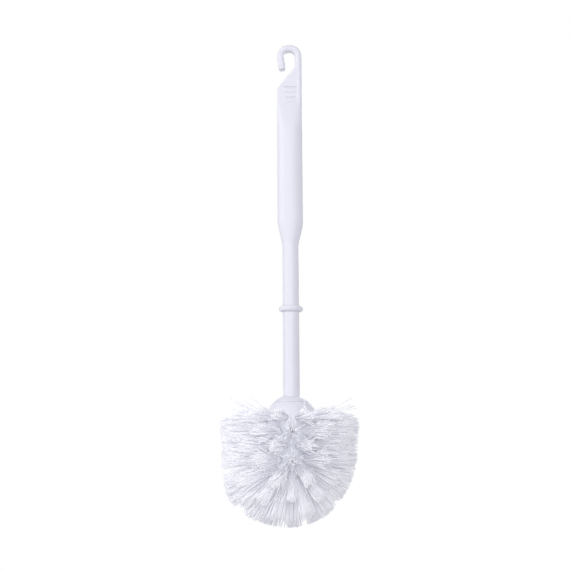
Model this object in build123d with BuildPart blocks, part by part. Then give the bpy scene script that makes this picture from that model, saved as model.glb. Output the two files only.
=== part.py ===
from build123d import *
import os
from math import acos, copysign, cos, degrees, pi, radians, sin, sqrt, tan

# A toilet brush in millimetres, +Z up. The origin is the centre of the eye in the hanging hook, the brush
# hangs straight down from it, and the front, with the thumb ribs, faces -Y.

# Hook: an open J round the eye, whose stem runs down into the grip
HOOK_EYE_RADIUS = 4.3
HOOK_THICKNESS = 5.33
HOOK_DEPTH = 7.6
HOOK_ROUNDING = 2.3
FULLEST_ROUNDING = 0.46
HOOK_LEG_LENGTH = 9.85
HOOK_LEG_LEAN = 8.0
HOOK_TIP_ROUNDING = 1.5
HOOK_ROOT = 60.0

# Shoulder: the flat web beside the hook's stem, cut off on a slant below the hook's mouth
SHOULDER_DROP = 9.1
SHOULDER_SLANT = 50.7
SHOULDER_CORNER_RADIUS = 2.5
SHOULDER_DEPTH = 7.0
SHOULDER_ROUNDING = 1.6
SHOULDER_LENGTH = 58.0

# Grip: an oval bar that swells out of the shoulder and tapers to the shaft
GRIP_SWELL = 0.3
GRIP_DEPTH = 15.5
GRIP_SQUARENESS = 2.15
GRIP_LENGTH = 123.7
GRIP_RISE_LENGTH = 36.0
RISE_SQUARENESS = 5.0
GRIP_INSET = 0.25
GRIP_SIDE_INSET = 0.03
TAPER_LENGTH = 18.8
TAPER_SOFTNESS = 0.12
OVAL_POINTS = 24
RISE_STEPS = 6
STRAIGHT_STEPS = 10
TAPER_STEPS = 8

# Thumb ribs across the front of the grip, and the mark that the moulding gate leaves
RIB_COUNT = 4
RIB_DROP = 24.7
RIB_PITCH = 4.1
RIB_HEIGHT = 1.7
RIB_SPAN = 9.2
RIB_NARROWING = 1.2
RIB_PROUD = 0.8
GATE_DROP = 109.3
GATE_DIAMETER = 2.4
GATE_DEPTH = 0.3

# Shaft and the stop ring that sits in a groove round it
SHAFT_DIAMETER = 12.5
SHAFT_LENGTH = 115.3
SHAFT_ROOT = 5.0
RING_ABOVE_FOOT = 66.4
RING_PROUD = 3.05
RING_HEIGHT = 4.6
RING_GROOVE_DEPTH = 0.5
RING_CLEARANCE = 0.05

# Screw thread between the foot of the shaft and the head
SPIGOT_RADIUS = 4.0
SPIGOT_CHAMFER = 0.8
THREAD_PITCH = 4.0
THREAD_TURNS = 2.5
THREAD_DEPTH = 1.0
THREAD_ROOT_WIDTH = 2.0
THREAD_CREST_WIDTH = 1.0
THREAD_TIP_GAP = 2.0
THREAD_NECK = 2.4
THREAD_CLEARANCE = 0.3
THREAD_SINK = 0.3
SOCKET_END_GAP = 1.0

# Neck collar, the top slice of the head's dome, which the foot of the shaft presses on to the head
COLLAR_HEIGHT = 4.3
COLLAR_LEDGE = 0.6
COLLAR_ROUNDING = 0.45
COLLAR_CLEARANCE = 0.4
SEAT_CHAMFER = 0.5

# Head core: a round dome cut off flat under the collar, a straight belt and a round belly
CORE_DIAMETER = 38.0
CORE_BELT_LENGTH = 29.02

# Tufts: straight rows round the belt, then rows that fan out over the belly to the crown below
BELT_ROWS = 4
BELT_TUFTS = 12
BELT_ROW_PITCH = 10.3
BELLY_LATITUDES = (17.5, 33.0, 52.5)
BELLY_TUFTS = (12, 12, 8)
CROWN_LATITUDE = 70.0
CROWN_TUFTS = 4
HOLE_DIAMETER = 4.0
HOLE_DEPTH = 5.0
MOUTH_WIDENING = 0.6
MOUTH_DEPTH = 0.9
TUFT_CLEARANCE = 0.1
TUFT_TIP_RADIUS = 7.0
TUFT_COLLAR = 0.4
TRIM_RADIUS = 50.0
TRIM_GROWTH = 0.8
TRIM_DROP = 0.5

# Wire anchors that hold the folded bristles at the bottom of their holes
ANCHOR_WIRE = 0.45
ANCHOR_HEIGHT = 2.0
ANCHOR_BITE = 0.12
ANCHOR_FLOOR_GAP = 0.9

# Sizes and levels that follow from the values above. A level named z is measured from the origin, and a
# level named head from the face of the head that the neck collar sits on.
hook_outer_radius = HOOK_EYE_RADIUS + HOOK_THICKNESS
hook_line_radius = HOOK_EYE_RADIUS + HOOK_THICKNESS / 2
hook_rounding = min(HOOK_ROUNDING, FULLEST_ROUNDING * min(HOOK_THICKNESS, HOOK_DEPTH))
hook_tip_rounding = min(HOOK_TIP_ROUNDING, hook_rounding)
grip_half_width = hook_outer_radius + GRIP_SWELL
grip_half_depth = GRIP_DEPTH / 2
shaft_radius = SHAFT_DIAMETER / 2
core_radius = CORE_DIAMETER / 2
hole_radius = HOLE_DIAMETER / 2
z_shoulder = -SHOULDER_DROP
slant_slope = tan(radians(SHOULDER_SLANT))
slant_low = z_shoulder - (HOOK_EYE_RADIUS + hook_outer_radius) * slant_slope
slant_high = z_shoulder + HOOK_THICKNESS * slant_slope
plate_low = z_shoulder - SHOULDER_LENGTH
z_rise = slant_low - SHOULDER_CORNER_RADIUS
z_taper = z_shoulder - GRIP_LENGTH
z_shaft = z_taper - TAPER_LENGTH
z_foot = z_shaft - SHAFT_LENGTH
z_ring = z_foot + RING_ABOVE_FOOT
z_seat = z_foot - COLLAR_HEIGHT
thread_length = THREAD_PITCH * THREAD_TURNS
spigot_length = COLLAR_HEIGHT + THREAD_NECK + thread_length + THREAD_TIP_GAP
head_thread = COLLAR_HEIGHT - spigot_length + THREAD_TIP_GAP
socket_radius = SPIGOT_RADIUS + THREAD_CLEARANCE
socket_depth = spigot_length - COLLAR_HEIGHT + SOCKET_END_GAP
collar_top_radius = shaft_radius + COLLAR_LEDGE
collar_arc = acos(collar_top_radius / core_radius)
head_dome = COLLAR_HEIGHT - core_radius * sin(collar_arc)
seat_radius = sqrt(core_radius**2 - head_dome**2)
seat_arc = acos(seat_radius / core_radius)
head_belly = head_dome - CORE_BELT_LENGTH
hole_floor = core_radius - HOLE_DEPTH


def oval_points(half_width, half_depth, squareness):
    """Points round an oval: |x / half_width| and |y / half_depth|, raised to squareness, add up to 1."""
    power = 2 / squareness
    angles = [2 * pi * step / OVAL_POINTS for step in range(OVAL_POINTS)]
    return [
        (
            half_width * copysign(abs(cos(angle)) ** power, cos(angle)),
            half_depth * copysign(abs(sin(angle)) ** power, sin(angle)),
        )
        for angle in angles
    ]


def blend(start, end, share):
    """The value at a share of the way from start to end."""
    return start + (end - start) * share


def smooth_step(share):
    """A share of 0 to 1 that starts and ends level."""
    return share * share * (3 - 2 * share)


def soft_start(share):
    """A share of 0 to 1 that starts level and then runs straight."""
    full = sqrt(1 + TAPER_SOFTNESS**2) - TAPER_SOFTNESS
    return (sqrt(share**2 + TAPER_SOFTNESS**2) - TAPER_SOFTNESS) / full


def rise_oval(level):
    """The grip's half width, half depth and squareness at a level, from inside the shoulder to full size."""
    share = smooth_step(min(max((z_rise - level) / GRIP_RISE_LENGTH, 0), 1))
    half_width = blend(hook_outer_radius - GRIP_SIDE_INSET, grip_half_width, share)
    half_depth = blend(SHOULDER_DEPTH / 2 - GRIP_INSET, grip_half_depth, share)
    squareness = blend(RISE_SQUARENESS, GRIP_SQUARENESS, share)
    return half_width, half_depth, squareness


def grip_sections():
    """The level, half width, half depth and squareness of each oval, from the shoulder to the shaft."""
    sections = []
    z_full = z_rise - GRIP_RISE_LENGTH
    for step in range(RISE_STEPS):
        level = blend(z_rise, z_full, step / RISE_STEPS)
        sections.append((level, *rise_oval(level)))
    for step in range(STRAIGHT_STEPS):
        level = blend(z_full, z_taper, step / STRAIGHT_STEPS)
        sections.append((level, grip_half_width, grip_half_depth, GRIP_SQUARENESS))
    for step in range(TAPER_STEPS + 1):
        share = soft_start(step / TAPER_STEPS)
        sections.append(
            (
                z_taper - TAPER_LENGTH * step / TAPER_STEPS,
                blend(grip_half_width, shaft_radius - GRIP_INSET, share),
                blend(grip_half_depth, shaft_radius - GRIP_INSET, share),
                blend(GRIP_SQUARENESS, 2, share),
            )
        )
    return sections


def thread_coil(z_start, height, clearance):
    """A trapezoid ridge carried up a right-hand helix, grown on every side by a clearance."""
    half_root = THREAD_ROOT_WIDTH / 2 + clearance
    half_crest = THREAD_CREST_WIDTH / 2 + clearance
    widening = (half_root - half_crest) / THREAD_DEPTH
    with BuildPart() as coil:
        with BuildLine() as coil_path:
            Helix(THREAD_PITCH, height, SPIGOT_RADIUS, center=(0, 0, z_start))
        start = coil_path.line
        with BuildSketch(Plane(start @ 0, x_dir=(1, 0, 0), z_dir=start % 0)):
            with BuildLine():
                Polyline(
                    (-THREAD_SINK, -half_root - widening * THREAD_SINK),
                    (THREAD_DEPTH + clearance, -half_crest),
                    (THREAD_DEPTH + clearance, half_crest),
                    (-THREAD_SINK, half_root + widening * THREAD_SINK),
                    close=True,
                )
            make_face()
        sweep(path=coil_path.line, is_frenet=True)
    return coil.part


def tuft_plane(level, latitude, azimuth):
    """The plane whose Z runs out along a tuft, from the head's axis, with its X level."""
    lift = radians(latitude)
    turn = radians(azimuth)
    outward = (cos(lift) * sin(turn), -cos(lift) * cos(turn), -sin(lift))
    return Plane((0, 0, level), x_dir=(cos(turn), sin(turn), 0), z_dir=outward)


def tuft_ring(level, latitude, count, phase):
    """The planes of tufts spaced evenly round the head, turned by a share of their spacing."""
    spacing = 360 / count
    return [tuft_plane(level, latitude, spacing * (number + phase)) for number in range(count)]


def tuft_rows():
    """The planes of each row's tufts, from the top row down, with how far out their tips reach."""
    rows = []
    for step in reversed(range(BELT_ROWS)):
        planes = tuft_ring(head_belly + BELT_ROW_PITCH * step, 0, BELT_TUFTS, step % 2 / 2)
        rows.append((planes, TRIM_RADIUS + TRIM_GROWTH * step))
    for number, (latitude, count) in enumerate(zip(BELLY_LATITUDES, BELLY_TUFTS), 1):
        planes = tuft_ring(head_belly, latitude, count, number % 2 / 2)
        rows.append((planes, TRIM_RADIUS + TRIM_DROP * sin(radians(latitude))))
    crown = tuft_ring(head_belly, CROWN_LATITUDE, CROWN_TUFTS, 0) + [tuft_plane(head_belly, 90, 0)]
    rows.append((crown, TRIM_RADIUS + TRIM_DROP * sin(radians(CROWN_LATITUDE))))
    return rows


FROM_BOTTOM = (Align.CENTER, Align.CENTER, Align.MIN)
FROM_TOP = (Align.CENTER, Align.CENTER, Align.MAX)
head_place = Location((0, 0, z_seat))
os.makedirs("parts", exist_ok=True)

# Threaded spigot at the foot of the shaft, in the head's own frame
thread_ridge = thread_coil(head_thread, thread_length, 0)
with BuildPart() as spigot:
    with Locations((0, 0, COLLAR_HEIGHT)):
        Cylinder(SPIGOT_RADIUS, spigot_length, align=FROM_TOP)
    chamfer(spigot.faces().sort_by(Axis.Z)[0].edges(), SPIGOT_CHAMFER)
    add(thread_ridge)

# Handle: hook, shoulder, grip, shaft and spigot in one moulding
groove_radius = shaft_radius - RING_GROOVE_DEPTH
with BuildPart() as handle:
    # Shoulder web, with its outline rounded and its front and back edges softened
    with BuildSketch(Plane.XZ):
        with BuildLine():
            Polyline(
                (hook_outer_radius, plate_low),
                (hook_outer_radius, slant_high),
                (-hook_outer_radius, slant_low),
                (-hook_outer_radius, plate_low),
                close=True,
            )
        outline = make_face()
        fillet(outline.vertices(), SHOULDER_CORNER_RADIUS)
    extrude(amount=SHOULDER_DEPTH / 2, both=True)
    fillet(handle.faces().filter_by(Axis.Y).edges(), SHOULDER_ROUNDING)

    # Hook, carried up the stem, over the eye and down the leaning leg
    with BuildLine(Plane.XZ) as hook_path:
        Line((hook_line_radius, z_shoulder - HOOK_ROOT), (hook_line_radius, 0))
        arch = CenterArc((0, 0), hook_line_radius, 0, 180 + HOOK_LEG_LEAN)
        leg = PolarLine(arch @ 1, HOOK_LEG_LENGTH, direction=arch % 1)
    with BuildSketch(Plane.XY.offset(z_shoulder - HOOK_ROOT)):
        with Locations((hook_line_radius, 0)):
            RectangleRounded(HOOK_THICKNESS, HOOK_DEPTH, hook_rounding)
    sweep(path=hook_path.line)
    hook_tip = handle.faces().sort_by_distance(leg @ 1)[0]
    fillet(hook_tip.edges(), hook_tip_rounding)

    # Grip and taper
    for level, half_width, half_depth, squareness in grip_sections():
        with BuildSketch(Plane.XY.offset(level)):
            with BuildLine():
                Spline(*oval_points(half_width, half_depth, squareness), periodic=True)
            make_face()
    loft()

    # Thumb ribs, which follow the curve of the grip's front
    for number in range(RIB_COUNT):
        level = -RIB_DROP - RIB_PITCH * number
        half_width, half_depth, squareness = rise_oval(level)
        rib_depth = max(half_depth, SHOULDER_DEPTH / 2) + RIB_PROUD
        with BuildSketch(Plane.XY.offset(level)):
            with BuildLine():
                Spline(*oval_points(half_width, rib_depth, squareness), periodic=True)
            make_face()
            with Locations((0, -GRIP_DEPTH)):
                Rectangle(RIB_SPAN - RIB_NARROWING * number, 2 * GRIP_DEPTH, mode=Mode.INTERSECT)
        extrude(amount=RIB_HEIGHT / 2, both=True)

    # Gate mark, a shallow round dent in the front of the grip
    with BuildSketch(Plane.XZ.offset(grip_half_depth)):
        with Locations((0, -GATE_DROP)):
            Circle(GATE_DIAMETER / 2)
    extrude(amount=-GATE_DEPTH, mode=Mode.SUBTRACT)

    # Shaft with the stop ring's groove
    with BuildSketch(Plane.XY.offset(z_foot)):
        Circle(shaft_radius)
    extrude(amount=SHAFT_LENGTH + SHAFT_ROOT)
    with BuildSketch(Plane.XY.offset(z_ring)):
        Circle(shaft_radius)
        Circle(groove_radius, mode=Mode.SUBTRACT)
    extrude(amount=RING_HEIGHT / 2 + RING_CLEARANCE, both=True, mode=Mode.SUBTRACT)
    add(spigot.part.moved(head_place))
handle.part.label = "handle"
export_step(handle.part, "parts/handle.step")

# Stop ring, round on the outside and flat where it sits in the groove
nose_radius = RING_HEIGHT / 2
nose_centre = shaft_radius + RING_PROUD - nose_radius
ring_bore_radius = groove_radius + RING_CLEARANCE
with BuildPart() as stop_ring:
    with BuildSketch(Plane.XZ):
        with Locations((nose_centre, z_ring)):
            Circle(nose_radius)
            Rectangle(nose_centre - ring_bore_radius, RING_HEIGHT, align=(Align.MAX, Align.CENTER))
        with Locations((0, z_ring)):
            Rectangle(2 * ring_bore_radius, 2 * RING_HEIGHT, mode=Mode.SUBTRACT)
    revolve(axis=Axis.Z)
stop_ring.part.label = "stop_ring"
export_step(stop_ring.part, "parts/stop_ring.step")

# Neck collar, a ring that carries the head's dome on up to the shaft
collar_bore_radius = SPIGOT_RADIUS + THREAD_DEPTH + COLLAR_CLEARANCE
with BuildPart() as neck_collar:
    with BuildSketch(Plane.XZ):
        with BuildLine():
            Polyline((collar_bore_radius, COLLAR_HEIGHT), (collar_bore_radius, 0), (seat_radius, 0))
            CenterArc((0, head_dome), core_radius, degrees(seat_arc), degrees(collar_arc - seat_arc))
            Line((collar_top_radius, COLLAR_HEIGHT), (collar_bore_radius, COLLAR_HEIGHT))
        make_face()
    revolve(axis=Axis.Z)
    collar_foot = neck_collar.faces().sort_by(Axis.Z)[0]
    fillet(collar_foot.outer_wire().edges(), COLLAR_ROUNDING)
neck_collar.part.label = "neck_collar"
export_step(neck_collar.part.moved(head_place), "parts/neck_collar.step")

# Head core: turned outline with a flat seat for the collar, threaded socket and a blind hole for each tuft
rows = tuft_rows()
quarter_lead = THREAD_PITCH / 4
head_groove = head_thread - quarter_lead
groove_height = THREAD_ROOT_WIDTH - head_groove
thread_groove = thread_coil(head_groove, groove_height, THREAD_CLEARANCE).rotate(Axis.Z, -90)
mouth_radius = hole_radius + MOUTH_WIDENING
with BuildPart() as head_core:
    with BuildSketch(Plane.XZ):
        with BuildLine():
            Line((0, 0), (seat_radius, 0))
            CenterArc((0, head_dome), core_radius, 0, degrees(seat_arc))
            Line((core_radius, head_dome), (core_radius, head_belly))
            CenterArc((0, head_belly), core_radius, 0, -90)
            Line((0, head_belly - core_radius), (0, 0))
        make_face()
    revolve(axis=Axis.Z)
    chamfer(head_core.edges().filter_by(GeomType.CIRCLE).group_by(Axis.Z)[-1], SEAT_CHAMFER)
    Cylinder(socket_radius, socket_depth, align=FROM_TOP, mode=Mode.SUBTRACT)
    add(thread_groove, mode=Mode.SUBTRACT)
    for planes, _ in rows:
        with Locations(*planes):
            with Locations((0, 0, hole_floor)):
                Cylinder(hole_radius, core_radius, align=FROM_BOTTOM, mode=Mode.SUBTRACT)
            with Locations((0, 0, core_radius)):
                Cone(hole_radius, mouth_radius, MOUTH_DEPTH, align=FROM_TOP, mode=Mode.SUBTRACT)
head_core.part.label = "head_core"
export_step(head_core.part.moved(head_place), "parts/head_core.step")

# Tufts, each a shank in its hole and a flare beyond it, with a window for its anchor
shank_radius = hole_radius - TUFT_CLEARANCE
shank_floor = hole_floor + TUFT_CLEARANCE
collar = core_radius + TUFT_COLLAR
anchor_middle = hole_floor + ANCHOR_FLOOR_GAP + ANCHOR_HEIGHT / 2
window_thickness = ANCHOR_WIRE + 2 * TUFT_CLEARANCE
window_height = ANCHOR_HEIGHT + 2 * TUFT_CLEARANCE
for number, (planes, reach) in enumerate(rows, 1):
    with BuildPart() as tufts:
        with Locations(*planes):
            with Locations((0, 0, shank_floor)):
                Cylinder(shank_radius, collar - shank_floor, align=FROM_BOTTOM)
            with Locations((0, 0, collar)):
                Cone(shank_radius, TUFT_TIP_RADIUS, reach - collar, align=FROM_BOTTOM)
            with Locations((0, 0, anchor_middle)):
                Box(HOLE_DIAMETER, window_thickness, window_height, mode=Mode.SUBTRACT)
    tufts.part.label = f"tuft_row_{number}"
    export_step(tufts.part.moved(head_place), f"parts/tuft_row_{number}.step")

# Wire anchors, whose ends bite into the walls of the holes
for number, (planes, _) in enumerate(rows, 1):
    with BuildPart() as anchors:
        with Locations(*planes):
            with Locations((0, 0, anchor_middle)):
                Box(HOLE_DIAMETER + 2 * ANCHOR_BITE, ANCHOR_WIRE, ANCHOR_HEIGHT)
    anchors.part.label = f"anchor_row_{number}"
    export_step(anchors.part.moved(head_place), f"parts/anchor_row_{number}.step")
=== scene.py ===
# %% [markdown]
# # A white toilet brush that hangs from its hook
# The handle, the ring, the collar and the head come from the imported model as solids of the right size. They
# could be remodelled here, but then the looks and the moving parts would drift apart. So this lesson keeps
# them as a fixed frame, gives them finishes, and grows the bristles that the model only holds as plain cones.

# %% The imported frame
import math

import bpy
import numpy as np
from mathutils import Matrix, Vector


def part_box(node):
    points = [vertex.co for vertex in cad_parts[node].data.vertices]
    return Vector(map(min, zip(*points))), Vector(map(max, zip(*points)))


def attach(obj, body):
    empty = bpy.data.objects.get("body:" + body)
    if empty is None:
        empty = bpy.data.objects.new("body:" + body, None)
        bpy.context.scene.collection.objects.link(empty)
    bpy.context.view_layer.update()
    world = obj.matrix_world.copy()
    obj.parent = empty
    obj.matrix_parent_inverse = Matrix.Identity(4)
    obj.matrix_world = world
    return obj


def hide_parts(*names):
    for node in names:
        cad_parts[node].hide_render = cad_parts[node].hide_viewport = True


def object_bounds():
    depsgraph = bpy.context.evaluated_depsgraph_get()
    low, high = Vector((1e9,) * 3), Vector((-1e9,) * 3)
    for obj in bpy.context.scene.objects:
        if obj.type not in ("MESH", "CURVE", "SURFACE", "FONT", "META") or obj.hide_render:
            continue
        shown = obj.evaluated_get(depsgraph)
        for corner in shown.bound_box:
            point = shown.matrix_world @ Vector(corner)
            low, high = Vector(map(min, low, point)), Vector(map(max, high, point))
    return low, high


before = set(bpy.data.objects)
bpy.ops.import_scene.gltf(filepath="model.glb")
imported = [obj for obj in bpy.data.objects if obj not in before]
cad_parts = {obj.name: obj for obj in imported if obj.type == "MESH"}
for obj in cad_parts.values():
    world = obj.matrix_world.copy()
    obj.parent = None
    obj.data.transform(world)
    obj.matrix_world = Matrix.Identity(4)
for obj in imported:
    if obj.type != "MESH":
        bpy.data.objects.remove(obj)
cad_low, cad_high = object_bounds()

MM = 0.001

print("model box in mm", [round(side / MM, 1) for side in cad_high - cad_low])

# %% [markdown]
# ## Camera
# The tufts that face us are seen end-on while the hook is seen from below, so the lens stood level with the
# head and was tipped up to take in the whole brush. A far lens would flatten that, so the camera stands
# close, 0.8 m away, with the same small roll as the picture.

# %% Camera level with the head
PICTURE_PIXELS = 570
SENSOR_WIDTH = 36.0
FOCAL_PIXELS = 1056.0
CAMERA_DISTANCE = 0.8
CAMERA_SIDE = -4.45 * MM
CAMERA_LEVEL = -299.4 * MM
CAMERA_PITCH = math.radians(8.35)
CAMERA_ROLL = math.radians(-0.336)

camera_data = bpy.data.cameras.new("studio_camera")
camera_data.sensor_width = SENSOR_WIDTH
camera_data.lens = SENSOR_WIDTH * FOCAL_PIXELS / PICTURE_PIXELS
camera = bpy.data.objects.new("studio_camera", camera_data)
bpy.context.collection.objects.link(camera)
stand = Matrix.Translation((CAMERA_SIDE, -CAMERA_DISTANCE, CAMERA_LEVEL))
tip_up = Matrix.Rotation(math.pi / 2 + CAMERA_PITCH, 4, "X")
camera.matrix_world = stand @ tip_up @ Matrix.Rotation(CAMERA_ROLL, 4, "Z")
bpy.context.scene.camera = camera
bpy.context.scene.view_settings.view_transform = "Standard"
print("lens", round(camera_data.lens, 1), "mm")

# %% [markdown]
# ## Light
# White plastic on white paper needs light from all round, or its edges vanish or turn black. One lamp alone
# would leave hard shadows between the bristles. So the whole surroundings glow softly, a wide lamp on the
# left makes the slow fall from light to shade across the round shaft, a second one beside the lens shines in
# between the tufts, and a third keeps the far side from going grey. Only what the lens sees directly, in a
# reflection or through glass is pure white.

# %% Node helpers
def add_node(tree, kind, inputs=None, **settings):
    """Adds one node, sets its properties by name and its input sockets by name or number."""
    made = tree.nodes.new(kind)
    for name, value in settings.items():
        setattr(made, name, value)
    for socket, value in (inputs or {}).items():
        made.inputs[socket].default_value = value
    return made


def seen_rays(tree):
    """A socket that is 1 for rays the lens sees: the largest of the camera, glossy and transmission flags."""
    rays = add_node(tree, "ShaderNodeLightPath")
    camera_or_glossy = add_node(tree, "ShaderNodeMath", operation="MAXIMUM")
    any_seen = add_node(tree, "ShaderNodeMath", operation="MAXIMUM")
    tree.links.new(rays.outputs["Is Camera Ray"], camera_or_glossy.inputs[0])
    tree.links.new(rays.outputs["Is Glossy Ray"], camera_or_glossy.inputs[1])
    tree.links.new(camera_or_glossy.outputs[0], any_seen.inputs[0])
    tree.links.new(rays.outputs["Is Transmission Ray"], any_seen.inputs[1])
    return any_seen.outputs[0]


print("helpers", add_node.__name__, seen_rays.__name__)

# %% Soft surroundings
AMBIENT_LIGHT = (0.585, 0.585, 0.65, 1.0)
PAPER_WHITE = (1.0, 1.0, 1.0, 1.0)
# A colour mix has several sockets of the same name, so its colours and its result go by number.
MIX_A = 6
MIX_B = 7
MIX_RESULT = 2

world = bpy.data.worlds.new("white_studio")
world.use_nodes = True
bpy.context.scene.world = world
sky = world.node_tree
sky.nodes.clear()
sky_colour = add_node(sky, "ShaderNodeMix", {MIX_A: AMBIENT_LIGHT, MIX_B: PAPER_WHITE}, data_type="RGBA")
glow = add_node(sky, "ShaderNodeBackground", {"Strength": 1.0})
sky_out = add_node(sky, "ShaderNodeOutputWorld")
sky.links.new(seen_rays(sky), sky_colour.inputs["Factor"])
sky.links.new(sky_colour.outputs[MIX_RESULT], glow.inputs["Color"])
sky.links.new(glow.outputs[0], sky_out.inputs["Surface"])
print("surroundings glow at", AMBIENT_LIGHT[0])

# %% Three wide lamps
LAMP_TINT = (0.95, 0.95, 1.0)
LAMP_TARGET = Vector((0.0, 0.0, -0.2))
# Each lamp's place and width are in metres and its power is in watts.
LAMPS = {
    "left_lamp": (Vector((-1.6, -0.9, 0.5)), 1.1, 12.0),
    "lens_lamp": (Vector((0.05, -1.8, 0.05)), 0.7, 9.3),
    "back_lamp": (Vector((0.5, 1.8, 0.5)), 0.9, 10.0),
}


def add_lamp(name, place, size, power):
    """A round area lamp that faces the brush."""
    lamp_data = bpy.data.lights.new(name, "AREA")
    lamp_data.shape = "DISK"
    lamp_data.size = size
    lamp_data.energy = power
    lamp_data.color = LAMP_TINT
    lamp = bpy.data.objects.new(name, lamp_data)
    lamp.location = place
    lamp.rotation_euler = (LAMP_TARGET - place).to_track_quat("-Z", "Y").to_euler()
    bpy.context.collection.objects.link(lamp)


for name, (place, size, power) in LAMPS.items():
    add_lamp(name, place, size, power)
    print(name, "stands", round((LAMP_TARGET - place).length, 2), "m off")

# %% [markdown]
# ## Light inside the bristles
# White filaments throw on almost all the light that falls on them, so a tuft glows from within after dozens
# of bounces. The usual few would leave the head grey, so the scene allows more.

# %% Bounces
LIGHT_BOUNCES = 64

bounces = bpy.context.scene.cycles
bounces.max_bounces = LIGHT_BOUNCES
bounces.diffuse_bounces = LIGHT_BOUNCES
print("light may bounce", LIGHT_BOUNCES, "times")

# %% [markdown]
# ## Floor
# The brush hangs, so it stands on nothing and the floor lies a little below its tips. A small plane would
# show its rim, so the floor is a large round sheet: near the brush it is pale paper that takes the shadow,
# and further out it turns into the same white as the background.

# %% Round floor sheet
FLOOR_GAP = 75 * MM
FLOOR_RADIUS = 12.0
FLOOR_SIDES = 96

floor_level = cad_low.z - FLOOR_GAP
turn = np.linspace(0, 2 * np.pi, FLOOR_SIDES, endpoint=False)
floor_rim = np.stack([np.cos(turn), np.sin(turn), np.zeros(FLOOR_SIDES)], axis=1) * FLOOR_RADIUS
floor_rim[:, 2] = floor_level
floor_mesh = bpy.data.meshes.new("floor")
floor_mesh.from_pydata(floor_rim.tolist(), [], [list(range(FLOOR_SIDES))])
floor = bpy.data.objects.new("floor", floor_mesh)
bpy.context.collection.objects.link(floor)
print("floor at", round(floor_level / MM), "mm")

# %% Floor paper
PAPER_COLOUR = (0.8, 0.8, 0.81, 1.0)
PAPER_NEAR = 0.20
PAPER_FAR = 0.34
FLAT_ONLY = (1.0, 1.0, 0.0)

paper = bpy.data.materials.new("floor_paper")
paper.use_nodes = True
tree = paper.node_tree
tree.nodes.clear()
place = add_node(tree, "ShaderNodeTexCoord")
flat = add_node(tree, "ShaderNodeVectorMath", {1: FLAT_ONLY}, operation="MULTIPLY")
distance = add_node(tree, "ShaderNodeVectorMath", operation="LENGTH")
fade_range = {"From Min": PAPER_NEAR, "From Max": PAPER_FAR}
fade = add_node(tree, "ShaderNodeMapRange", fade_range, interpolation_type="SMOOTHSTEP")
seen_far = add_node(tree, "ShaderNodeMath", operation="MULTIPLY")
sheet = add_node(tree, "ShaderNodeBsdfDiffuse", {"Color": PAPER_COLOUR})
white = add_node(tree, "ShaderNodeEmission", {"Color": PAPER_WHITE, "Strength": 1.0})
both = add_node(tree, "ShaderNodeMixShader")
paper_out = add_node(tree, "ShaderNodeOutputMaterial")
tree.links.new(place.outputs["Object"], flat.inputs[0])
tree.links.new(flat.outputs[0], distance.inputs[0])
tree.links.new(distance.outputs["Value"], fade.inputs["Value"])
tree.links.new(fade.outputs[0], seen_far.inputs[0])
tree.links.new(seen_rays(tree), seen_far.inputs[1])
tree.links.new(seen_far.outputs[0], both.inputs[0])
tree.links.new(sheet.outputs[0], both.inputs[1])
tree.links.new(white.outputs[0], both.inputs[2])
tree.links.new(both.outputs[0], paper_out.inputs["Surface"])
floor_mesh.materials.append(paper)
print("paper fades out by", PAPER_FAR, "m")

# %% [markdown]
# ## Moulded plastic
# The handle, ring and head are polypropylene out of a steel mould: white with a cool cast, satin, with a fine
# spark-eroded grain and faint clouds where the melt cooled at different speeds. One flat white would look
# like a computer drawing. So each finish mixes two near whites by a soft noise, and a fine noise dents the
# surface and changes its gloss.

# %% Bare material
def finish_material(name):
    """A new material with only a Principled shader and its output; returns material, tree, shader."""
    made = bpy.data.materials.new(name)
    made.use_nodes = True
    nodes = made.node_tree
    nodes.nodes.clear()
    shader = add_node(nodes, "ShaderNodeBsdfPrincipled")
    out = add_node(nodes, "ShaderNodeOutputMaterial")
    nodes.links.new(shader.outputs[0], out.inputs["Surface"])
    return made, nodes, shader


print("helper", finish_material.__name__)

# %% Clouded finish
CLOUDS = {"Scale": 38.0, "Detail": 3.0, "Roughness": 0.55}
GRAIN = {"Detail": 2.0, "Roughness": 0.5}
GLOSS_SWING = 0.05
DENT_STRENGTH = 0.35
PLASTIC_IOR = 1.49
PLASTIC_SPECULAR = 0.4


def clouded_finish(name, light, dark, gloss, grain_scale, grain_depth, metal=0.0):
    """Cloudy two-tone finish: colour = mix(light, dark, soft noise); a fine noise drives bump and gloss."""
    made, nodes, shader = finish_material(name)
    place = add_node(nodes, "ShaderNodeTexCoord")
    clouds = add_node(nodes, "ShaderNodeTexNoise", CLOUDS)
    grain = add_node(nodes, "ShaderNodeTexNoise", {"Scale": grain_scale, **GRAIN})
    tone = add_node(nodes, "ShaderNodeMix", {MIX_A: light, MIX_B: dark}, data_type="RGBA")
    gloss_range = {"To Min": gloss - GLOSS_SWING, "To Max": gloss + GLOSS_SWING}
    sheen = add_node(nodes, "ShaderNodeMapRange", gloss_range)
    dents = add_node(nodes, "ShaderNodeBump", {"Strength": DENT_STRENGTH, "Distance": grain_depth})
    for noise in (clouds, grain):
        nodes.links.new(place.outputs["Object"], noise.inputs["Vector"])
    nodes.links.new(clouds.outputs[0], tone.inputs["Factor"])
    nodes.links.new(tone.outputs[MIX_RESULT], shader.inputs["Base Color"])
    nodes.links.new(grain.outputs[0], sheen.inputs["Value"])
    nodes.links.new(sheen.outputs[0], shader.inputs["Roughness"])
    nodes.links.new(grain.outputs[0], dents.inputs["Height"])
    nodes.links.new(dents.outputs[0], shader.inputs["Normal"])
    shader.inputs["IOR"].default_value = PLASTIC_IOR
    shader.inputs["Specular IOR Level"].default_value = PLASTIC_SPECULAR
    shader.inputs["Metallic"].default_value = metal
    return made


print("clouds about", round(1 / CLOUDS["Scale"] / MM), "mm across")

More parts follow.
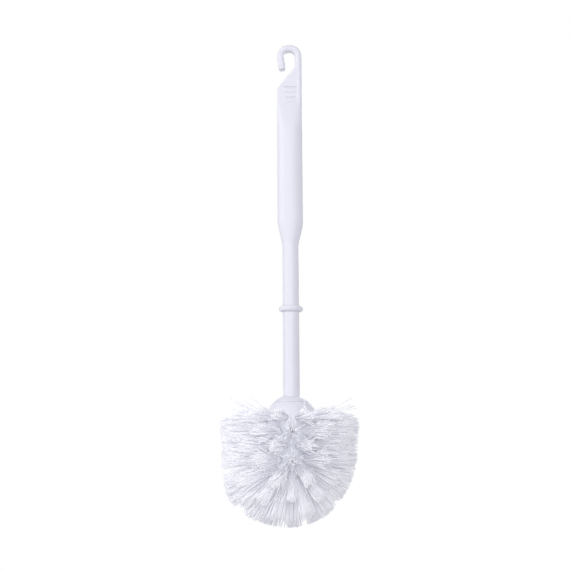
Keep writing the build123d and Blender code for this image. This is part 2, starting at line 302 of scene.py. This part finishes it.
# %% Plastic on the mouldings
HANDLE_LIGHT = (0.77, 0.77, 0.795, 1.0)
HANDLE_DARK = (0.745, 0.747, 0.775, 1.0)
HANDLE_GLOSS = 0.42
HANDLE_GRAIN = 2600.0
HANDLE_DENTS = 0.06 * MM
HEAD_LIGHT = (0.765, 0.77, 0.8, 1.0)
HEAD_DARK = (0.745, 0.75, 0.78, 1.0)
HEAD_GLOSS = 0.46
HEAD_GRAIN = 2200.0
HEAD_DENTS = 0.07 * MM


def dress(node, material):
    """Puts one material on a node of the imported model."""
    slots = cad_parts[node].data.materials
    slots.clear()
    slots.append(material)


handle_plastic = clouded_finish(
    "handle_plastic", HANDLE_LIGHT, HANDLE_DARK, HANDLE_GLOSS, HANDLE_GRAIN, HANDLE_DENTS
)
core_plastic = clouded_finish("core_plastic", HEAD_LIGHT, HEAD_DARK, HEAD_GLOSS, HEAD_GRAIN, HEAD_DENTS)
dress("handle", handle_plastic)
dress("stop_ring", handle_plastic)
dress("neck_collar", core_plastic)
dress("head_core", core_plastic)
print("plastic on handle, ring, collar and head")

# %% [markdown]
# ## Anchor wire
# The anchors are flat steel wire, cut and driven over the fold of each tuft, deep in the holes. They could be
# drawn again as bent wire, but only a glint of them is ever seen between the bristles. So the model's own
# solids stay, with a clouded steel finish.

# %% Anchor wire
WIRE_LIGHT = (0.68, 0.69, 0.71, 1.0)
WIRE_DARK = (0.52, 0.53, 0.55, 1.0)
WIRE_GLOSS = 0.34
WIRE_GRAIN = 5200.0
WIRE_DENTS = 0.02 * MM

anchor_steel = clouded_finish(
    "anchor_steel", WIRE_LIGHT, WIRE_DARK, WIRE_GLOSS, WIRE_GRAIN, WIRE_DENTS, metal=1.0
)
anchor_rows = [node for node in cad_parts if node.startswith("anchor_row")]
for node in anchor_rows:
    dress(node, anchor_steel)
print("wire on", len(anchor_rows), "rows of anchors")

# %% [markdown]
# ## Where the tufts stand
# Twelve tufts ring the belt in each of four rows, every other row turned by half a step, and more rows fan
# out over the round belly to one tuft at the very bottom. The rows could be read off by eye, but the packed
# model has them, so their levels come from its boxes.

# %% Levels of the head
BELT_ROWS = 4

core_low, core_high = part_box("head_core")
core_radius = (core_high.x - core_low.x) / 2
seat_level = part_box("neck_collar")[0].z
belt_nodes = [f"tuft_row_{row + 1}" for row in range(BELT_ROWS)]
belt_levels = [sum(corner.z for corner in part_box(node)) / 2 for node in belt_nodes]
belly_level = belt_levels[-1]
print("belt levels in mm", [round(level / MM, 1) for level in belt_levels])
print("core radius", round(core_radius / MM, 1), "mm, seat at", round(seat_level / MM, 1), "mm")

# %% Tuft axes
ROW_TUFTS = (12, 12, 12, 12, 12, 12, 8, 4)
ROW_LATITUDES = (0.0, 0.0, 0.0, 0.0, 17.5, 33.0, 52.5, 70.0)
ROW_STAGGER = (0.5, 0.0, 0.5, 0.0, 0.5, 0.0, 0.5, 0.0)
LAST_ROW = len(ROW_TUFTS) - 1


def tuft_axes(row):
    """Outward axis, level cross axis and steep cross axis of each tuft of a row.

    For azimuth a and latitude b the outward axis is (cos b sin a, -cos b cos a, -sin b), the level axis is
    (cos a, sin a, 0), and the steep axis is their cross product. The last row also has the tuft that points
    straight down.
    """
    count = ROW_TUFTS[row]
    azimuth = 2 * np.pi * (np.arange(count) + ROW_STAGGER[row]) / count
    latitude = np.full(count, math.radians(ROW_LATITUDES[row]))
    if row == LAST_ROW:
        azimuth = np.append(azimuth, 0.0)
        latitude = np.append(latitude, np.pi / 2)
    outward = np.stack(
        [np.cos(latitude) * np.sin(azimuth), -np.cos(latitude) * np.cos(azimuth), -np.sin(latitude)], axis=1
    )
    level = np.stack([np.cos(azimuth), np.sin(azimuth), np.zeros_like(azimuth)], axis=1)
    return outward, level, np.cross(outward, level)


print("tufts to a row", [len(tuft_axes(row)[0]) for row in range(len(ROW_TUFTS))])

# %% [markdown]
# ## The trimmed outline
# After tufting, the head spins past a cutter, and every bristle is cut where it crosses one turned outline:
# a belt that narrows a little downwards, a bevel at the top, and a round belly. Giving each tuft one length
# would leave the ends ragged, so the outline is one function that is negative inside and positive outside.

# %% Outline of the trim
BELT_RADIUS = 50.0 * MM
BELT_SLOPE = 0.075
TRIM_SHIFT = -2.0 * MM
BEVEL_RADIUS = 35.0 * MM
BEVEL_LEVEL = -5.5 * MM
BEVEL_SLOPE = 0.44
BELLY_DROP = 2.0 * MM
BELLY_RADIUS = 49.6 * MM
BELLY_SQUASH = 1.04
BELLY_SKEW = 0.12


def outside_trim(points):
    """How far points lie outside the turned outline, the largest of three distances.

    Belt: radius less a radius that grows with height. Bevel: height above a cone. Belly, below its middle:
    length of (radius, squash x height) less the belly's radius, where the radius is skewed so that the right
    side is cut shorter.
    """
    radius = np.hypot(points[..., 0] - TRIM_SHIFT, points[..., 1])
    height = points[..., 2] - seat_level
    over_belly = points[..., 2] - belly_level
    belt = radius - BELT_RADIUS - BELT_SLOPE * over_belly
    bevel = height - BEVEL_LEVEL + BEVEL_SLOPE * (radius - BEVEL_RADIUS)
    depth_share = np.clip(-over_belly / BELLY_RADIUS, 0, 1)
    skewed = radius + BELLY_SKEW * depth_share * points[..., 0]
    belly = np.hypot(skewed, BELLY_SQUASH * (over_belly + BELLY_DROP)) - BELLY_RADIUS
    return np.where(over_belly > -BELLY_DROP, np.maximum(belt, bevel), belly)


print("trim at the belt", round(BELT_RADIUS / MM), "mm")

# %% [markdown]
# ## How a tuft spreads
# A bristle is a straight round filament, folded in half and stapled into its hole, so it leaves the hole
# packed against its neighbours and leans out by where it sits in the bundle. Hair particles would be quicker
# to make, but they are no real mesh. So the roots and tips of all bristles of a row are worked out first, as
# whole arrays. Most bristles keep to the heart of their tuft, and some stand loose round it.

# %% Roots and tips
BRISTLES = 66
BUNDLE_RADIUS = 1.76 * MM
HEART_RADII = np.array([3.8, 3.1, 3.6, 3.1, 3.0, 2.6, 4.2, 4.4]) * MM
SIDE_SPLAY = np.array([3.4, 4.6, 4.0, 5.0, 5.0, 4.4, 4.0, 3.0]) * MM
SPLAY_POWER = 0.75
SPREAD_JITTER = 0.08
TIP_POWER = 0.55
TIP_JITTER = 0.6 * MM
TIP_TWIST = 0.35
TUFT_TILT = 0.8 * MM
BEND = 0.25 * MM
GOLDEN_TURN = math.pi * (3 - math.sqrt(5))
FLARE_POWERS = (0.8, 1.35)
# Loose bristles are likelier at the rim of the bundle: chance = share of the row x (least + rise x place).
LOOSE_SHARES = (0.42, 0.54, 0.42, 0.54, 0.2, 0.06, 0.12, 0.16)
LOOSE_LEAST = 0.2
LOOSE_RISE = 1.6
LOOSE_RADII = (2.0 * MM, 10.0 * MM)
LOOSE_POWER = 1.3
LOOSE_TWIST = 0.3
LOOSE_BEND = 2
SIDE_TIDINESS = 0.25
FREE_SHARES = (0.1, 0.01, 0.01, 0.01, 0.01, 0.01, 0.01, 0.01)
TOP_ROW = 0
TOP_FAN = 1.6
TOP_LIFT = 2.4 * MM
TOP_STRAY = 1.7


def bristle_lean(row, row_random, axes):
    """Root and tip offsets of every bristle across its tuft, the bend of its free end, and if it strays.

    Roots fill a disc as seeds do in a sunflower: radius = root of the share, angle = golden turn x number.
    Tips keep the angle. Most fill the tuft's heart, radius = heart x share to a power, and the loose ones
    splay out further. The front is the least worn, so the heart grows with the part of the tuft's axis that
    points sideways or back. In the top row the upper ones fan up, with nothing above to hold them.
    """
    tufts = len(axes[0])
    every = (tufts, BRISTLES)
    aside = np.hypot(axes[0][:, :1], np.clip(axes[0][:, 1:2], 0, None))
    heart = HEART_RADII[row] + SIDE_SPLAY[row] * aside**SPLAY_POWER
    share = (np.arange(BRISTLES) + 0.5) / BRISTLES
    angle = GOLDEN_TURN * np.arange(BRISTLES) + row_random.uniform(0, 2 * np.pi, (tufts, 1))
    loose_share = LOOSE_SHARES[row] * (1 - SIDE_TIDINESS * aside)
    loose = row_random.random(every) < loose_share * (LOOSE_LEAST + LOOSE_RISE * share)
    free = loose & (row_random.random(every) < FREE_SHARES[row] / LOOSE_SHARES[row])
    spread = heart * share**TIP_POWER * (1 + row_random.normal(0, SPREAD_JITTER, every))
    reach = row_random.random(every) ** LOOSE_POWER
    spread = np.where(loose, LOOSE_RADII[0] + (LOOSE_RADII[1] - LOOSE_RADII[0]) * reach, spread)
    tip_angle = angle + row_random.normal(0, TIP_TWIST, every) * np.where(loose, LOOSE_TWIST, 1)
    root_radius = BUNDLE_RADIUS * np.sqrt(share)
    root = np.stack([root_radius * np.cos(angle), root_radius * np.sin(angle)], axis=-1)
    tip = np.stack([spread * np.cos(tip_angle), spread * np.sin(tip_angle)], axis=-1)
    if row == TOP_ROW:
        lift = np.where(free, TOP_STRAY, TOP_FAN)
        tip[..., 1] = TOP_LIFT + np.where(tip[..., 1] > 0, lift * tip[..., 1], tip[..., 1])
    tilt = row_random.normal(0, TUFT_TILT, (tufts, 1, 2)) * aside[..., None]
    tip = tip + row_random.normal(0, TIP_JITTER, (*every, 2)) + tilt
    bend = row_random.normal(0, BEND, (*every, 2)) * np.where(loose, LOOSE_BEND, 1)[..., None]
    power = np.where(loose, FLARE_POWERS[1], FLARE_POWERS[0])
    return root, tip, bend, power, free


print(BRISTLES, "bristles to a tuft")

# %% [markdown]
# ## The path of a bristle
# On the real head a bristle fills its hole's mouth and then flares out in a slight curve. A straight line
# from root to tip would open a gap at the hole, so the offset across the tuft follows a power of the height.

# %% Bristle paths
ROOT_DEPTH = 2.0 * MM
MOUTH_DEPTH = 0.9 * MM
MOUTH_SWELL = 0.2
FLARE_LENGTH = 31.0 * MM
STATIONS = np.array([0.0, 0.06, 0.1, 0.2, 0.45, 0.72, 1.0])


def bristle_points(row, axes, lean, height):
    """Points at heights above the core, shape (tufts, bristles, heights, 3).

    Offset = root + (tip - root) x flare + bend x share squared, where the root swells to fill the hole's
    mouth. Share is the part of the way from the bottom of the mouth to the flare's full length, and flare is
    that share to a power. The point is the tuft's axis at that height plus the offset across it.
    """
    outward, level, steep = axes
    root, tip, bend, power, _ = lean
    share = np.clip(height + MOUTH_DEPTH, 0, None) / (FLARE_LENGTH + MOUTH_DEPTH)
    flare = share ** power[..., None]
    swell = 1 + MOUTH_SWELL * np.clip(height / MOUTH_DEPTH + 1, 0, 1)
    offset = root[:, :, None] * swell[..., None]
    offset = offset + (tip[:, :, None] - offset) * flare[..., None]
    offset = offset + bend[:, :, None] * (share**2)[..., None]
    centre = np.array([0.0, 0.0, belt_levels[min(row, BELT_ROWS - 1)]])
    along = outward[:, None, None] * (core_radius + height)[..., None]
    across = level[:, None, None] * offset[..., :1] + steep[:, None, None] * offset[..., 1:]
    return centre + along + across


print("a path has", len(STATIONS), "stations and starts", round(ROOT_DEPTH / MM, 1), "mm deep")

# %% [markdown]
# ## The cut
# The cutter leaves the ends nearly even, about half a millimetre up and down, and misses some strays. The
# crossing could be solved for each bristle, but a fine ladder of heights finds it for all of them at once.

# %% Cut at the trim
LADDER = np.linspace(14 * MM, 40 * MM, 105)
END_JITTER = 0.35 * MM
TUFT_JITTER = 0.5 * MM
JITTER_LOW = -1.8 * MM
JITTER_HIGH = 1.2 * MM
UNCUT_SHARES = (0.8, 1.03)


def cut_heights(row, axes, lean, row_random):
    """Height at which each bristle first leaves the trim, found on a fine ladder of heights, then jittered.

    Strays slip past the cutter and keep nearly their full length.
    """
    tufts = len(axes[0])
    every = (tufts, BRISTLES)
    heights = np.broadcast_to(LADDER, (*every, len(LADDER)))
    gone = outside_trim(bristle_points(row, axes, lean, heights)) > 0
    first = np.where(gone.any(axis=-1), gone.argmax(axis=-1), len(LADDER) - 1)
    jitter = row_random.normal(0, END_JITTER, every) + row_random.normal(0, TUFT_JITTER, (tufts, 1))
    cut = LADDER[first] + np.clip(jitter, JITTER_LOW, JITTER_HIGH)
    uncut = FLARE_LENGTH * row_random.uniform(*UNCUT_SHARES, every)
    return np.where(lean[-1], uncut, cut)


print("ladder step", round((LADDER[1] - LADDER[0]) / MM, 2), "mm")

# %% [markdown]
# ## Bristle tubes
# The filament is round. A curve with a bevel could draw it, but thousands of curves are slow to turn into
# meshes. So each bristle is a six-sided tube carried along its path, and a whole row is made at once.

# %% Tube points
BRISTLE_RADIUS = 0.285 * MM
TUBE_SIDES = 6


def tube_points(paths, level):
    """Rings of points round each path: path + radius (cos a n + sin a b), with n the level axis turned square
    to the path and b square to both."""
    run = np.gradient(paths, axis=-2)
    run = run / np.linalg.norm(run, axis=-1, keepdims=True)
    side = level - run * np.sum(run * level, axis=-1, keepdims=True)
    side = side / np.linalg.norm(side, axis=-1, keepdims=True)
    third = np.cross(run, side)
    angle = 2 * np.pi * np.arange(TUBE_SIDES) / TUBE_SIDES
    ring = np.cos(angle)[:, None] * side[..., None, :] + np.sin(angle)[:, None] * third[..., None, :]
    return paths[..., None, :] + BRISTLE_RADIUS * ring


print("a bristle is", round(2 * BRISTLE_RADIUS / MM, 2), "mm thick")

# %% Tube faces
# Two quads close a six-sided end.
END_QUADS = np.array([[0, 1, 2, 3], [0, 3, 4, 5]])


def tube_faces(count, stations):
    """Corner numbers of all quads: the walls between neighbouring rings, then two quads on each end."""
    steps, sides = np.meshgrid(np.arange(stations - 1), np.arange(TUBE_SIDES), indexing="ij")
    here = steps * TUBE_SIDES + sides
    beside = steps * TUBE_SIDES + (sides + 1) % TUBE_SIDES
    walls = np.stack([here, beside, beside + TUBE_SIDES, here + TUBE_SIDES], axis=-1).reshape(-1, 4)
    last = (stations - 1) * TUBE_SIDES
    one = np.concatenate([walls, END_QUADS[:, ::-1], END_QUADS + last])
    start = np.arange(count)[:, None, None] * stations * TUBE_SIDES
    smooth = np.tile(np.arange(len(one)) < len(walls), count)
    return (one + start).reshape(-1, 4), smooth


print("a bristle has", len(tube_faces(1, len(STATIONS))[0]), "faces")

# %% Mesh from arrays
def quad_mesh(name, points, faces, smooth):
    """A mesh of quads from whole arrays of points and corner numbers."""
    corners = faces.shape[1]
    mesh = bpy.data.meshes.new(name)
    mesh.vertices.add(len(points))
    mesh.vertices.foreach_set("co", points.astype(np.float32).ravel())
    mesh.loops.add(faces.size)
    mesh.loops.foreach_set("vertex_index", faces.astype(np.int32).ravel())
    mesh.polygons.add(len(faces))
    mesh.polygons.foreach_set("loop_start", np.arange(0, faces.size, corners, dtype=np.int32))
    mesh.polygons.foreach_set("use_smooth", smooth)
    mesh.update(calc_edges=True)
    mesh.validate()
    return mesh


print("helper", quad_mesh.__name__)

# %% [markdown]
# ## Bristle finish
# The filaments are drawn from nearly clear white plastic, so no two catch quite the same light. Towards the
# cut
# end each bristle turns a touch whiter: partly the frosted cut, and partly painted light that makes the outer
# ends look lit and the roots shaded. A noise in space would paint patches over whole tufts. So every bristle
# carries a number of its own and the share of its length, and the material reads those two.

# %% Bristle material
BRISTLE_LIGHT = (0.996, 0.996, 1.0, 1.0)
BRISTLE_DARK = (0.978, 0.978, 0.99, 1.0)
# Whiter ends: partly the frosted cut, partly painted light, so the darker rest of each bristle reads as
# painted shade at the roots.
BRISTLE_TIP_FROST_AND_PAINTED_LIGHT = (0.996, 0.996, 0.999, 1.0)
BRISTLE_SPECULAR = 0.2
TIP_RANGE = {"From Min": 0.6, "From Max": 1.0}
SHEEN_RANGE = {"To Min": 0.4, "To Max": 0.58}

bristle_white, tree, shader = finish_material("bristle_white")
own_tone = add_node(tree, "ShaderNodeAttribute", attribute_name="bristle_tone")
own_share = add_node(tree, "ShaderNodeAttribute", attribute_name="bristle_share")
tone = add_node(tree, "ShaderNodeMix", {MIX_A: BRISTLE_DARK, MIX_B: BRISTLE_LIGHT}, data_type="RGBA")
# Painted light and frosted cut: from 0.6 of its length on, each bristle whitens towards its tip.
near_tip = add_node(tree, "ShaderNodeMapRange", TIP_RANGE)
tip_frost_and_light = add_node(tree, "ShaderNodeMix", {MIX_B: BRISTLE_TIP_FROST_AND_PAINTED_LIGHT}, data_type="RGBA")
sheen = add_node(tree, "ShaderNodeMapRange", SHEEN_RANGE)
tree.links.new(own_tone.outputs["Fac"], tone.inputs["Factor"])
tree.links.new(own_share.outputs["Fac"], near_tip.inputs["Value"])
tree.links.new(near_tip.outputs[0], tip_frost_and_light.inputs["Factor"])
tree.links.new(tone.outputs[MIX_RESULT], tip_frost_and_light.inputs[MIX_A])
tree.links.new(tip_frost_and_light.outputs[MIX_RESULT], shader.inputs["Base Color"])
tree.links.new(own_tone.outputs["Fac"], sheen.inputs["Value"])
tree.links.new(sheen.outputs[0], shader.inputs["Roughness"])
shader.inputs["Specular IOR Level"].default_value = BRISTLE_SPECULAR
print("bristle material", bristle_white.name)

# %% [markdown]
# ## Rows of tufts
# Each tuft could be an object of its own, but the head has more than eighty. So each row becomes one piece
# that takes the place of the row's plain cones and rides on the head, and it turns and travels when the head
# is unscrewed. The seed is the row's number, so every run grows the same brush.

# %% Grow the rows
def grow_row(row):
    """All bristles of one row as one mesh object, with each bristle's tone and length share stored on it."""
    row_random = np.random.default_rng(row + 1)
    axes = tuft_axes(row)
    lean = bristle_lean(row, row_random, axes)
    cut = cut_heights(row, axes, lean, row_random)
    heights = -ROOT_DEPTH + (cut[..., None] + ROOT_DEPTH) * STATIONS
    paths = bristle_points(row, axes, lean, heights)
    rings = tube_points(paths, axes[1][:, None, None])
    count = len(axes[0]) * BRISTLES
    faces, smooth = tube_faces(count, len(STATIONS))
    mesh = quad_mesh(f"bristle_row_{row + 1}", rings.reshape(-1, 3), faces, smooth)
    tones = np.repeat(row_random.random(count), len(STATIONS) * TUBE_SIDES)
    shares = np.tile(np.repeat(STATIONS, TUBE_SIDES), count)
    for name, values in (("bristle_tone", tones), ("bristle_share", shares)):
        mesh.attributes.new(name, "FLOAT", "POINT").data.foreach_set("value", values.astype(np.float32))
    mesh.materials.append(bristle_white)
    piece = bpy.data.objects.new(f"bristle_row_{row + 1}", mesh)
    bpy.context.collection.objects.link(piece)
    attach(piece, "head")
    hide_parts(f"tuft_row_{row + 1}")
    return piece


bristle_rows = [grow_row(row) for row in range(len(ROW_TUFTS))]
print("faces", [len(piece.data.polygons) for piece in bristle_rows])
